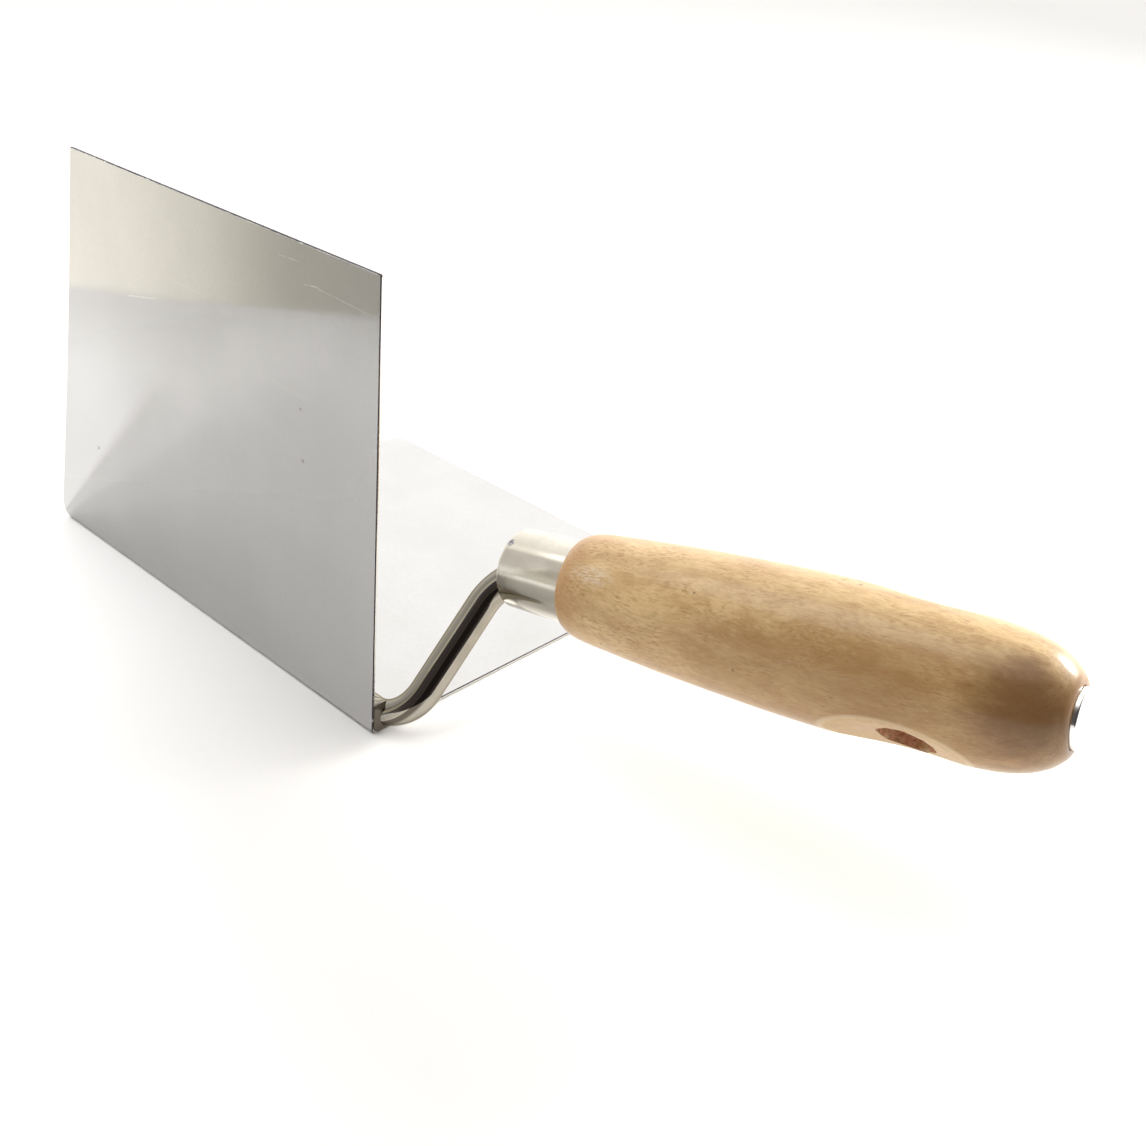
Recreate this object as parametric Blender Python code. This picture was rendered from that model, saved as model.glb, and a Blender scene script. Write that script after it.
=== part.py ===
"""Inside corner trowel: a right-angled sheet-steel blade, a bent round shank welded
into its corner, a drawn ferrule and a turned wooden handle with a hanging hole.

Frame: +X runs along the fold towards its far tip, +Y is the outward side of the
standing flange, +Z is up, and the lying flange rests on z = 0.  The origin is the
middle of the bounding box, on the plane that the tool rests on.  Units are metres.
"""
import math

import bmesh
import bpy
from mathutils import Vector

# Blade
FLANGE_WIDTH = 0.115
FOLD_LENGTH = 0.145
OUTER_EDGE_LENGTH = 0.124
SHEET = 0.0007
FOLD_RADIUS = 0.0013
NOSE_RADIUS = 0.0055
CORNER_RADIUS = 0.0004
FOLD_STEPS = 6
NOSE_STEPS = 8
CORNER_STEPS = 3

# Clearance kept between pieces that touch on the real tool
GAP = 0.0003

# Shank: one round rod that lies in the corner, rises and turns into the handle
SHANK_RADIUS = 0.00385
FOOT_RADIUS = 0.0030
FOOT_LENGTH = 0.030
FOOT_CHAMFER = 0.0005
FOOT_CHAMFER_SCALE = 0.85
FOOT_BEND_RADIUS = 0.010
RISER_OFFSET = 0.0063
NECK_HEIGHT = 0.0517
NECK_BEND_RADIUS = 0.0145
TANG_END = 0.075
TANG_TAPER = 0.012
TANG_TIP_SCALE = 0.45
SHANK_SIDES_RESOLUTION = 8
BEND_STEPS = 12

# Handle axis rises from the fold direction by this angle, in the bisecting plane
HANDLE_RISE = math.radians(11.5)

# Along the handle axis, measured from where the riser and the axis would meet
FERRULE_FRONT = 0.0032
SPIGOT_FRONT = 0.0112
SHOULDER = 0.0214
BUTT = 0.1367

# Ferrule
FERRULE_WALL = 0.0008
FERRULE_FRONT_RADIUS = 0.0097
FERRULE_BACK_RADIUS = 0.0101
FERRULE_LIP_RADIUS = 0.0014
OUTER_LIP_STEPS = 5
INNER_LIP_STEPS = 3
CAP_EDGE_STEPS = 4

# Wood: turned radii at stations from the shoulder to the butt
TURNING = [
    (0.0214, 0.01035),
    (0.0222, 0.01150),
    (0.0250, 0.01260),
    (0.0320, 0.01340),
    (0.0550, 0.01500),
    (0.0850, 0.01600),
    (0.1120, 0.01515),
    (0.1230, 0.01440),
    (0.1290, 0.01310),
    (0.1335, 0.01090),
    (0.1360, 0.00850),
    (0.1367, 0.00720),
]
TURNING_SUBSTEPS = 3
BORE_CLEARANCE = 0.0004
BORE_RADIUS = SHANK_RADIUS + BORE_CLEARANCE
BORE_END = TANG_END + 0.002
DRILL_POINT = 0.002

# Hanging hole and the scoop cut on either side of it
HOLE_AT = 0.1066
HOLE_RADIUS = 0.0059
SCOOP_AT = 0.1065
SCOOP_RADIUS = 0.058
SCOOP_DEPTH_FROM_AXIS = 0.0135
CUTTER_LENGTH = 0.05
HOLE_SIDES = 40
SCOOP_SIDES = 144

# Butt cap: a pressed-in disc with a nail shank
CAP_RADIUS = 0.0063
CAP_PROUD = 0.0011
CAP_RECESS = 0.0008
CAP_EDGE = 0.0004
NAIL_RADIUS = 0.0015
NAIL_LENGTH = 0.011
NAIL_POINT = 0.0025
NAIL_HOLE_POINT = 0.001

# Weld beads: one along each flange, and one round the end of the blade under the rod
BEAD_LEG = 0.0018
BEAD_START = 0.0004
BEAD_END = 0.0300
BEAD_BULGE = 0.00035
BEAD_CLEARANCE = 0.0005
BEAD_THIN_END = 0.15
BEAD_CONTACT_START = 38
BEAD_CONTACT_SPAN = 30
BEAD_CONTACT_EXTRA = 18
BEAD_STATIONS = 12
BEAD_ARC_POINTS = 5
END_BEAD_RADIUS = 0.0006
END_BEAD_TIP_SCALE = 0.3
END_BEAD_STEPS = 12
END_BEAD_SIDES_RESOLUTION = 3

TURN_STEPS = 48

MATERIALS = {
    "stainless_sheet": ((0.74, 0.73, 0.70), 0.22, 1.0),
    "polished_rod": ((0.66, 0.64, 0.60), 0.14, 1.0),
    "weld_metal": ((0.30, 0.26, 0.22), 0.45, 1.0),
    "nickel_plate": ((0.72, 0.69, 0.62), 0.18, 1.0),
    "lacquered_wood": ((0.60, 0.41, 0.22), 0.35, 0.0),
    "cap_steel": ((0.80, 0.78, 0.73), 0.16, 1.0),
}


def clear_scene():
    for obj in list(bpy.data.objects):
        bpy.data.objects.remove(obj, do_unlink=True)


def make_material(name):
    colour, roughness, metallic = MATERIALS[name]
    material = bpy.data.materials.new(name)
    material.use_nodes = True
    shader = material.node_tree.nodes["Principled BSDF"]
    shader.inputs["Base Color"].default_value = (*colour, 1.0)
    shader.inputs["Roughness"].default_value = roughness
    shader.inputs["Metallic"].default_value = metallic
    return material


def add_object(name, data, material, parent):
    obj = bpy.data.objects.new(name, data)
    bpy.context.scene.collection.objects.link(obj)
    obj.parent = parent
    if material:
        data.materials.append(material)
    return obj


def add_empty(name, location, rotation, parent=None):
    empty = bpy.data.objects.new(name, None)
    empty.empty_display_size = 0.01
    bpy.context.scene.collection.objects.link(empty)
    empty.parent = parent
    empty.location = location
    empty.rotation_euler = rotation
    return empty


def shade(mesh, angle_degrees=35):
    mesh.shade_smooth()
    mesh.set_sharp_from_angle(angle=math.radians(angle_degrees))


# ---------------------------------------------------------------- blade

def flange_far_x(width):
    """Far end of the flange at this distance from the fold, before rounding."""
    slope = (FOLD_LENGTH - OUTER_EDGE_LENGTH) / FLANGE_WIDTH
    return FOLD_LENGTH - slope * width


def rounded_far_x(width):
    """Far end of the flange, with the nose at the fold and the outer corner rounded."""
    far = flange_far_x(width)
    if width < NOSE_RADIUS:
        drop = NOSE_RADIUS - width
        far -= NOSE_RADIUS - math.sqrt(NOSE_RADIUS ** 2 - drop ** 2)
    edge = FLANGE_WIDTH - width
    if edge < CORNER_RADIUS:
        drop = CORNER_RADIUS - edge
        far -= CORNER_RADIUS - math.sqrt(CORNER_RADIUS ** 2 - drop ** 2)
    return far


def rounded_near_x(width):
    """Near end of the flange: square, with a small rounding at the outer corner."""
    edge = FLANGE_WIDTH - width
    if edge >= CORNER_RADIUS:
        return 0.0
    drop = CORNER_RADIUS - edge
    return CORNER_RADIUS - math.sqrt(CORNER_RADIUS ** 2 - drop ** 2)


def flange_stations():
    """Distances from the fold, from the outer edge in to where the bend starts."""
    corner = [math.pi / 2 * i / CORNER_STEPS for i in range(CORNER_STEPS + 1)]
    nose = [math.pi / 2 * i / NOSE_STEPS for i in range(NOSE_STEPS + 1)]
    outer = [FLANGE_WIDTH - CORNER_RADIUS * (1 - math.cos(angle)) for angle in corner]
    inner = [NOSE_RADIUS * (1 - math.sin(angle)) for angle in nose]
    return outer + [width for width in inner if width > FOLD_RADIUS] + [FOLD_RADIUS]


def blade_section():
    """Outer skin of the folded sheet: (y, z, distance from the fold) at each station."""
    standing = [(0.0, width, width) for width in flange_stations()]
    bend = []
    for i in range(1, FOLD_STEPS):
        angle = math.pi / 2 * i / FOLD_STEPS
        y = -FOLD_RADIUS * (1 - math.cos(angle))
        z = FOLD_RADIUS * (1 - math.sin(angle))
        bend.append((y, z, max(-y, z)))
    lying = [(-width, 0.0, width) for width in reversed(flange_stations())]
    return standing + bend + lying


def fold_start():
    """Where the near end of the fold lies, so that the whole tool is centred on the origin."""
    butt_reach = (RISER_OFFSET + (BUTT + CAP_PROUD) * math.cos(HANDLE_RISE)
                  + (CAP_RADIUS - CAP_EDGE) * math.sin(HANDLE_RISE))
    blade_reach = max(rounded_far_x(width) for width in flange_stations())
    return Vector(((butt_reach - blade_reach) / 2, FLANGE_WIDTH / 2, 0))


def build_blade(parent):
    bm = bmesh.new()
    previous = None
    for y, z, width in blade_section():
        near = bm.verts.new((rounded_near_x(width), y, z))
        far = bm.verts.new((rounded_far_x(width), y, z))
        if previous:
            bm.faces.new((previous[0], previous[1], far, near))
        previous = (near, far)
    bmesh.ops.recalc_face_normals(bm, faces=bm.faces)
    mesh = bpy.data.meshes.new("blade")
    bm.to_mesh(mesh)
    bm.free()
    if mesh.polygons[0].normal.y < 0:
        mesh.flip_normals()
    blade = add_object("blade", mesh, make_material("stainless_sheet"), parent)
    solidify = blade.modifiers.new("sheet_thickness", "SOLIDIFY")
    solidify.thickness = SHEET
    solidify.offset = -1.0
    solidify.use_even_offset = True
    shade(mesh, 25)


# ---------------------------------------------------------------- shank and welds

def shank_seat():
    """Distance from each flange's outer face to the centre of the foot lying in it."""
    return SHEET + GAP + FOOT_RADIUS


def drawn_down_radius(bend_angle):
    """Rod radius where the foot's bend has turned this far: the foot is forged thinner."""
    share = bend_angle / (math.pi / 2)
    return FOOT_RADIUS + (SHANK_RADIUS - FOOT_RADIUS) * share ** 2 * (3 - 2 * share)


def foot_height():
    """Height of the foot's centre line above the fold, in the bisecting plane."""
    return shank_seat() * math.sqrt(2)


def foot_bend_angle(x):
    """How far the foot's bend has turned at x."""
    into_bend = max(FOOT_BEND_RADIUS - RISER_OFFSET - x, 0.0)
    return math.asin(into_bend / FOOT_BEND_RADIUS)


def rod_rise(x):
    """How far the rod has left its seat at x, in the bisecting plane."""
    return FOOT_BEND_RADIUS * (1 - math.cos(foot_bend_angle(x)))


def shank_path():
    """Centre line (x, height) in the bisecting plane, with a radius scale."""
    foot = FOOT_RADIUS / SHANK_RADIUS
    points = [(FOOT_LENGTH, foot_height(), foot * FOOT_CHAMFER_SCALE),
              (FOOT_LENGTH - FOOT_CHAMFER, foot_height(), foot)]
    centre_x = FOOT_BEND_RADIUS - RISER_OFFSET
    centre_z = foot_height() + FOOT_BEND_RADIUS
    for i in range(BEND_STEPS + 1):
        angle = math.pi / 2 * i / BEND_STEPS
        x = centre_x - FOOT_BEND_RADIUS * math.sin(angle)
        z = centre_z - FOOT_BEND_RADIUS * math.cos(angle)
        points.append((x, z, drawn_down_radius(angle) / SHANK_RADIUS))
    turn = math.pi / 2 - HANDLE_RISE
    tangent = NECK_BEND_RADIUS * math.tan(turn / 2)
    for i in range(BEND_STEPS + 1):
        angle = turn * i / BEND_STEPS
        x = -RISER_OFFSET - NECK_BEND_RADIUS * (1 - math.cos(angle))
        z = NECK_HEIGHT - tangent + NECK_BEND_RADIUS * math.sin(angle)
        points.append((x, z, 1.0))
    for along, scale in ((TANG_END - TANG_TAPER, 1.0), (TANG_END, TANG_TIP_SCALE)):
        x = -RISER_OFFSET - along * math.cos(HANDLE_RISE)
        z = NECK_HEIGHT + along * math.sin(HANDLE_RISE)
        points.append((x, z, scale))
    return points


def build_shank(parent):
    curve = bpy.data.curves.new("shank", "CURVE")
    curve.dimensions = "3D"
    curve.bevel_depth = SHANK_RADIUS
    curve.bevel_resolution = SHANK_SIDES_RESOLUTION
    curve.use_fill_caps = True
    path = shank_path()
    spline = curve.splines.new("POLY")
    spline.points.add(len(path) - 1)
    for point, (x, z, scale) in zip(spline.points, path):
        point.co = (x, 0.0, z, 1.0)
        point.radius = scale
    spline.use_smooth = True
    add_object("shank", curve, make_material("polished_rod"), parent)


def bead_section(x, swell):
    """Fillet between a flange and the rod: (distance out from the fold, height)."""
    seat = shank_seat() + rod_rise(x) / math.sqrt(2)
    rod = drawn_down_radius(foot_bend_angle(x))
    reach = rod + BEAD_CLEARANCE
    floor = SHEET + GAP
    points = []
    span = BEAD_CONTACT_SPAN + BEAD_CONTACT_EXTRA * swell
    for i in range(BEAD_ARC_POINTS):
        angle = math.radians(BEAD_CONTACT_START + span * i / (BEAD_ARC_POINTS - 1))
        points.append((seat + reach * math.sin(angle), seat - reach * math.cos(angle)))
    top = Vector(points[-1])
    toe = Vector((seat + rod + BEAD_LEG * swell, floor))
    bulge = BEAD_BULGE * swell
    normal = Vector((top.y - toe.y, toe.x - top.x)).normalized()
    for i in range(1, BEAD_ARC_POINTS):
        share = i / BEAD_ARC_POINTS
        points.append(tuple(top.lerp(toe, share) + normal * bulge * math.sin(math.pi * share)))
    points.append(tuple(toe))
    points.append((points[0][0], floor))
    return points


def build_bead(name, parent, standing):
    """One weld bead; the standing flange's bead mirrors the lying flange's."""
    bm = bmesh.new()
    rings = []
    for i in range(BEAD_STATIONS + 1):
        share = i / BEAD_STATIONS
        x = BEAD_START + (BEAD_END - BEAD_START) * share
        fullness = max(math.sin(math.pi * share), 0.0) ** 0.5
        swell = BEAD_THIN_END + (1 - BEAD_THIN_END) * fullness
        ring = []
        for out, height in bead_section(x, swell):
            position = (x, -height, out) if standing else (x, -out, height)
            ring.append(bm.verts.new(position))
        rings.append(ring)
    count = len(rings[0])
    for first, second in zip(rings, rings[1:]):
        for j in range(count):
            k = (j + 1) % count
            bm.faces.new((first[j], first[k], second[k], second[j]))
    bm.faces.new(rings[0])
    bm.faces.new(rings[-1])
    bmesh.ops.recalc_face_normals(bm, faces=bm.faces)
    mesh = bpy.data.meshes.new(name)
    bm.to_mesh(mesh)
    bm.free()
    add_object(name, mesh, make_material("weld_metal"), parent)
    shade(mesh, 50)


def build_end_bead(parent):
    """Bead that wraps under the rod, just in front of the blade's near end."""
    x = -GAP - END_BEAD_RADIUS
    centre = shank_seat() + rod_rise(x) / math.sqrt(2)
    angle = foot_bend_angle(x)
    reach = drawn_down_radius(angle) / math.cos(angle) + GAP + END_BEAD_RADIUS
    curve = bpy.data.curves.new("weld_bead_end", "CURVE")
    curve.dimensions = "3D"
    curve.bevel_depth = END_BEAD_RADIUS
    curve.bevel_resolution = END_BEAD_SIDES_RESOLUTION
    curve.use_fill_caps = True
    spline = curve.splines.new("POLY")
    spline.points.add(END_BEAD_STEPS)
    spline.use_smooth = True
    for i, point in enumerate(spline.points):
        share = i / END_BEAD_STEPS
        angle = -math.pi / 2 * share
        point.co = (x, -centre + reach * math.cos(angle), centre + reach * math.sin(angle), 1.0)
        fullness = math.sin(math.pi * share)
        point.radius = END_BEAD_TIP_SCALE + (1 - END_BEAD_TIP_SCALE) * fullness
    add_object("weld_bead_end", curve, make_material("weld_metal"), parent)


# ---------------------------------------------------------------- turned pieces

def add_turned(name, profile, closed, material, parent):
    """Turn a profile of (radius, distance along the axis) about the local Z axis."""
    bm = bmesh.new()
    verts = [bm.verts.new((radius, 0.0, along)) for radius, along in profile]
    for first, second in zip(verts, verts[1:]):
        bm.edges.new((first, second))
    if closed:
        bm.edges.new((verts[-1], verts[0]))
    mesh = bpy.data.meshes.new(name)
    bm.to_mesh(mesh)
    bm.free()
    obj = add_object(name, mesh, material, parent)
    screw = obj.modifiers.new("turning", "SCREW")
    screw.axis = "Z"
    screw.steps = TURN_STEPS
    screw.render_steps = TURN_STEPS
    screw.use_merge_vertices = True
    screw.merge_threshold = 0.00001
    screw.use_normal_calculate = False
    screw.use_smooth_shade = True
    return obj


def arc(centre_radius, centre_along, radius, start, end, steps):
    """Points of an arc in the turning plane; angles in degrees from outward, towards the butt."""
    points = []
    for i in range(steps + 1):
        angle = math.radians(start + (end - start) * i / steps)
        points.append((centre_radius + radius * math.cos(angle),
                       centre_along + radius * math.sin(angle)))
    return points


def turned_radius(along):
    """Smooth radius of the wood between its turning stations (cubic Hermite)."""
    stations = TURNING
    for i in range(len(stations) - 1):
        (a0, r0), (a1, r1) = stations[i], stations[i + 1]
        if along <= a1 or i == len(stations) - 2:
            break
    before = stations[max(i - 1, 0)]
    after = stations[min(i + 2, len(stations) - 1)]
    slope0 = (r1 - before[1]) / (a1 - before[0])
    slope1 = (after[1] - r0) / (after[0] - a0)
    step = a1 - a0
    t = (along - a0) / step
    return (r0 * (2 * t ** 3 - 3 * t ** 2 + 1) + slope0 * step * (t ** 3 - 2 * t ** 2 + t)
            + r1 * (3 * t ** 2 - 2 * t ** 3) + slope1 * step * (t ** 3 - t ** 2))


def build_ferrule(parent):
    lip = FERRULE_LIP_RADIUS
    inner_lip = lip - FERRULE_WALL
    centre_radius = FERRULE_FRONT_RADIUS - lip
    centre_along = FERRULE_FRONT + lip
    back = SHOULDER - GAP
    profile = [(FERRULE_BACK_RADIUS, back)]
    profile += arc(centre_radius, centre_along, lip, 0, -90, OUTER_LIP_STEPS)
    profile += arc(centre_radius, centre_along, inner_lip, -90, 0, INNER_LIP_STEPS)
    profile += [(FERRULE_BACK_RADIUS - FERRULE_WALL, back)]
    add_turned("ferrule", profile, True, make_material("nickel_plate"), parent)


def wood_profile():
    spigot_radius = FERRULE_FRONT_RADIUS - FERRULE_WALL - GAP
    nail_hole = NAIL_RADIUS + GAP
    recess = CAP_RADIUS + GAP
    floor = BUTT - CAP_RECESS
    profile = [(0.0, floor - NAIL_LENGTH - NAIL_HOLE_POINT), (nail_hole, floor - NAIL_LENGTH)]
    profile += [(nail_hole, floor), (recess, floor), (recess, BUTT)]
    stations = [along for along, _ in TURNING]
    for a1, a0 in zip(stations[::-1], stations[-2::-1]):
        for i in range(TURNING_SUBSTEPS):
            along = a1 + (a0 - a1) * i / TURNING_SUBSTEPS
            profile.append((turned_radius(along), along))
    profile += [(TURNING[0][1], SHOULDER), (spigot_radius, SHOULDER)]
    profile += [(spigot_radius, SPIGOT_FRONT), (BORE_RADIUS, SPIGOT_FRONT)]
    profile += [(BORE_RADIUS, BORE_END), (0.0, BORE_END + DRILL_POINT)]
    return profile


def add_cutter(name, radius, location, rotation, parent, sides):
    """A round cutter, which leaves no material of its own."""
    bm = bmesh.new()
    bmesh.ops.create_cone(bm, cap_ends=True, segments=sides, radius1=radius,
                          radius2=radius, depth=CUTTER_LENGTH)
    mesh = bpy.data.meshes.new(name)
    bm.to_mesh(mesh)
    bm.free()
    cutter = add_object(name, mesh, None, parent)
    cutter.location = location
    cutter.rotation_euler = rotation
    cutter.hide_render = True
    cutter.display_type = "WIRE"
    return cutter


def build_wood(parent):
    wood = add_turned("wooden_handle", wood_profile(), False,
                      make_material("lacquered_wood"), parent)
    crosswise = (0, math.pi / 2, 0)
    along_width = (math.pi / 2, 0, 0)
    cutters = [add_cutter("hanging_hole_cutter", HOLE_RADIUS, (0, 0, HOLE_AT),
                          crosswise, parent, HOLE_SIDES)]
    for side, label in ((1, "back"), (-1, "front")):
        offset = side * (SCOOP_DEPTH_FROM_AXIS + SCOOP_RADIUS)
        cutters.append(add_cutter("scoop_cutter_" + label, SCOOP_RADIUS,
                                  (offset, 0, SCOOP_AT), along_width, parent, SCOOP_SIDES))
    for cutter in cutters:
        cut = wood.modifiers.new(cutter.name, "BOOLEAN")
        cut.operation = "DIFFERENCE"
        cut.solver = "EXACT"
        cut.object = cutter


def build_cap(parent):
    seat = BUTT - CAP_RECESS + GAP
    face = BUTT + CAP_PROUD
    profile = [(0.0, face)]
    tip = seat - NAIL_LENGTH + GAP
    profile += arc(CAP_RADIUS - CAP_EDGE, face - CAP_EDGE, CAP_EDGE, 90, 0, CAP_EDGE_STEPS)
    profile += [(CAP_RADIUS, seat), (NAIL_RADIUS, seat)]
    profile += [(NAIL_RADIUS, tip + NAIL_POINT), (0.0, tip)]
    add_turned("butt_cap", profile, False, make_material("cap_steel"), parent)


def main():
    clear_scene()
    fold = add_empty("fold_corner", fold_start(), (0, 0, 0))
    build_blade(fold)
    build_bead("weld_bead_standing", fold, True)
    build_bead("weld_bead_lying", fold, False)
    build_end_bead(fold)
    bisector = add_empty("bisecting_plane", (0, 0, 0), (math.pi / 4, 0, 0), fold)
    build_shank(bisector)
    handle_axis = add_empty("handle_axis", (-RISER_OFFSET, 0, NECK_HEIGHT),
                            (0, HANDLE_RISE - math.pi / 2, 0), bisector)
    build_ferrule(handle_axis)
    build_wood(handle_axis)
    build_cap(handle_axis)


main()
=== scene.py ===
"""Visual model of the concrete edger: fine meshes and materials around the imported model.

World axes: +X runs along the fold to its far tip, +Y is outward from the standing flange,
+Z is up, and the lying flange rests on z = 0.  Units are metres.
"""
from math import asin, atan, atan2, cos, pi, radians, sin, sqrt, tan

import bmesh
import bpy
from mathutils import Matrix, Vector, noise


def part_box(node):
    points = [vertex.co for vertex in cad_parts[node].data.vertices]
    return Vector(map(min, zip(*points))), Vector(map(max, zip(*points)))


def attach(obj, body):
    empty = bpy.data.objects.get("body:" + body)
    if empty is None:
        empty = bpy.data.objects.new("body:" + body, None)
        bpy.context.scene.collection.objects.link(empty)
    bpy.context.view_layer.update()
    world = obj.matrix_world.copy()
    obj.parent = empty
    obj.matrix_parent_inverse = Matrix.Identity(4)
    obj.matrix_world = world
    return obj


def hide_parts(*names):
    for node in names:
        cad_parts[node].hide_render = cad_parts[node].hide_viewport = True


# Blade
FLANGE_WIDTH = 0.115
FOLD_LENGTH = 0.145
OUTER_EDGE_LENGTH = 0.124
SHEET = 0.0007
FOLD_RADIUS = 0.0013
NOSE_RADIUS = 0.0055
CORNER_RADIUS = 0.0004
BLADE_CELL = 0.0014
EDGE_BEVEL = 0.00024
WAVE_DEPTH = 0.00007
RIPPLE_DEPTH = 0.000006
FAN_SLOPE = 0.016
FAN_RISE = (0.78, 0.9)
FAN_FALL = (1.12, 1.45)

# Shank, in the plane that halves the angle between the flanges
SHANK_RADIUS = 0.00385
FOOT_RADIUS = 0.003
FOOT_LENGTH = 0.03
FOOT_BEND_RADIUS = 0.01
RISER_OFFSET = 0.0063
NECK_HEIGHT = 0.0517
NECK_BEND_RADIUS = 0.0145
TANG_END = 0.075
HANDLE_RISE = radians(11.5)
SEAT = 0.001 + FOOT_RADIUS
SHANK_SIDES = 56

# Weld
WELD_LEG = 0.0016
WELD_RIPPLE = 0.0016
WELD_TOE_GAP = 0.00005
END_WELD_PROUD = 0.0013
END_WELD_DEPTH = 0.0011
END_WELD_CORNER = 1.16
END_WELD_GAP = 0.00006
BURIED = 0.0001
END_WELD_FROM = 84
END_WELD_TO = -174
END_WELD_FADE = 58

# Stations along the handle's axis
FERRULE_FRONT = 0.0032
SPIGOT_FRONT = 0.0112
SHOULDER = 0.0214
BUTT = 0.1367
GAP = 0.0003
CLOSE_FIT = 0.00005
FERRULE_WALL = 0.0008
FERRULE_FRONT_RADIUS = 0.0097
FERRULE_BACK_RADIUS = 0.0101
FERRULE_LIP_RADIUS = 0.0014
TURNING = [
    (0.0214, 0.01035), (0.0222, 0.0115), (0.025, 0.0126), (0.032, 0.0134),
    (0.055, 0.015), (0.085, 0.016), (0.112, 0.01515), (0.123, 0.0144),
    (0.129, 0.0131), (0.1335, 0.0109), (0.136, 0.0085), (0.1367, 0.0072),
]
HOLE_AT = 0.1066
HOLE_RADIUS = 0.0059
SCOOP_AT = 0.1065
SCOOP_RADIUS = 0.058
SCOOP_DEPTH = 0.0135
CAP_RADIUS = 0.0063
CAP_PROUD = 0.00108
CAP_RECESS = 0.0008
CAP_CLEARANCE = 0.00012
FACET_EASE = 0.0005
WOOD_SIDES = 320

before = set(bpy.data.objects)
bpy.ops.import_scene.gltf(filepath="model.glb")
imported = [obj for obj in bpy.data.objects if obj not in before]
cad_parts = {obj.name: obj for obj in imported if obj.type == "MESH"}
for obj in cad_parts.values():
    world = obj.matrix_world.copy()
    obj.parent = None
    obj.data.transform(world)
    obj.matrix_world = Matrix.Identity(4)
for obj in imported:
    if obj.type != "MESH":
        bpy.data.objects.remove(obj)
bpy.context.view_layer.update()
blade_low, blade_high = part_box("blade")
FOLD_START = Vector((blade_low.x, blade_high.y, blade_low.z))
FOLD = Matrix.Translation(FOLD_START)
BISECTOR = FOLD @ Matrix.Rotation(pi / 4, 4, "X")
HANDLE = (BISECTOR @ Matrix.Translation((-RISER_OFFSET, 0, NECK_HEIGHT))
          @ Matrix.Rotation(HANDLE_RISE - pi / 2, 4, "Y"))


# ---- helpers

def smooth(low, high, value):
    """0 below low, 1 above high, and a smooth rise between them."""
    t = min(max((value - low) / (high - low), 0), 1)
    return t * t * (3 - 2 * t)


def wander(x, y, z, size, seed=0):
    """Smooth noise between about -1 and 1 whose features are `size` metres across."""
    return noise.noise(Vector((x / size + seed, y / size - seed, z / size + 2 * seed)))


def new_object(name, mesh, materials, matrix=None):
    """Link a mesh; a matrix is applied to the mesh itself, so the object has no rotation."""
    if matrix is not None:
        mesh.transform(matrix)
    obj = bpy.data.objects.new(name, mesh)
    bpy.context.scene.collection.objects.link(obj)
    for material in materials:
        mesh.materials.append(material)
    return obj


def finish_mesh(bm, name, sharp_degrees=None):
    """Smooth-shaded mesh with outward normals; edges sharper than the angle stay sharp."""
    bmesh.ops.recalc_face_normals(bm, faces=bm.faces)
    mesh = bpy.data.meshes.new(name)
    bm.to_mesh(mesh)
    bm.free()
    mesh.shade_smooth()
    if sharp_degrees:
        mesh.set_sharp_from_angle(angle=radians(sharp_degrees))
    return mesh


def skin(bm, rings, closed=True):
    """Faces between rings of vertices; a closed ring joins its last vertex to its first."""
    faces = []
    for first, second in zip(rings, rings[1:]):
        count = len(first)
        for j in range(count if closed else count - 1):
            k = (j + 1) % count
            faces.append(bm.faces.new((first[j], first[k], second[k], second[j])))
    return faces


def solid(rings, looped=False):
    """Mesh over closed rings of points: looped, or with a face over each end."""
    bm = bmesh.new()
    rings = [[bm.verts.new(point) for point in ring] for ring in rings]
    skin(bm, rings + rings[:1] if looped else rings)
    if not looped:
        bm.faces.new(rings[0])
        bm.faces.new(rings[-1])
    return bm


def turns(sides):
    """Angles of a ring's corners."""
    return [2 * pi * j / sides for j in range(sides)]


def place(obj, node):
    """Ride on the one body and stand for the CAD node."""
    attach(obj, "root")
    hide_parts(node)


def piece(bm, name, sharp_degrees, materials, axes, node):
    """Finish a mesh given in the axes' frame and place it."""
    obj = new_object(name, finish_mesh(bm, name, sharp_degrees), materials, axes)
    place(obj, node)
    return obj


# ---- material helpers

class Nodes:
    """Short ways to add nodes to a node tree."""

    def __init__(self, tree):
        self.tree = tree

    def feed(self, socket, value):
        """Link a socket to another node's output, or set its value."""
        if isinstance(value, bpy.types.NodeSocket):
            self.tree.links.new(value, socket)
        else:
            socket.default_value = value

    def add(self, kind, inputs=None, **settings):
        """New node with some of its inputs fed."""
        node = self.tree.nodes.new(kind)
        for key, value in settings.items():
            setattr(node, key, value)
        for socket, value in (inputs or {}).items():
            self.feed(node.inputs[socket], value)
        return node

    def vector(self, operation, a, b, output="Value"):
        return self.add("ShaderNodeVectorMath", {0: a, 1: b}, operation=operation).outputs[output]

    def along(self, vector, axis, low, high):
        """How far a vector reaches along an axis, as 0 at low and 1 at high."""
        return self.spread(self.vector("DOT_PRODUCT", vector, axis), low, high)

    def spread(self, value, low, high):
        inputs = {"Value": value, "From Min": low, "From Max": high}
        return self.add("ShaderNodeMapRange", inputs).outputs["Result"]

    def ramp(self, factor, stops, interpolation="LINEAR"):
        """Colour ramp from (position, colour) stops; a colour may be one number, for grey."""
        node = self.add("ShaderNodeValToRGB", {"Fac": factor})
        node.color_ramp.interpolation = interpolation
        elements = node.color_ramp.elements
        for position, colour in stops[1:-1]:
            elements.new(position)
        for element, (position, colour) in zip(elements, stops):
            rgb = colour if isinstance(colour, tuple) else (colour,) * 3
            element.position = position
            element.color = (*rgb, 1)
        return node.outputs["Color"]


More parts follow.
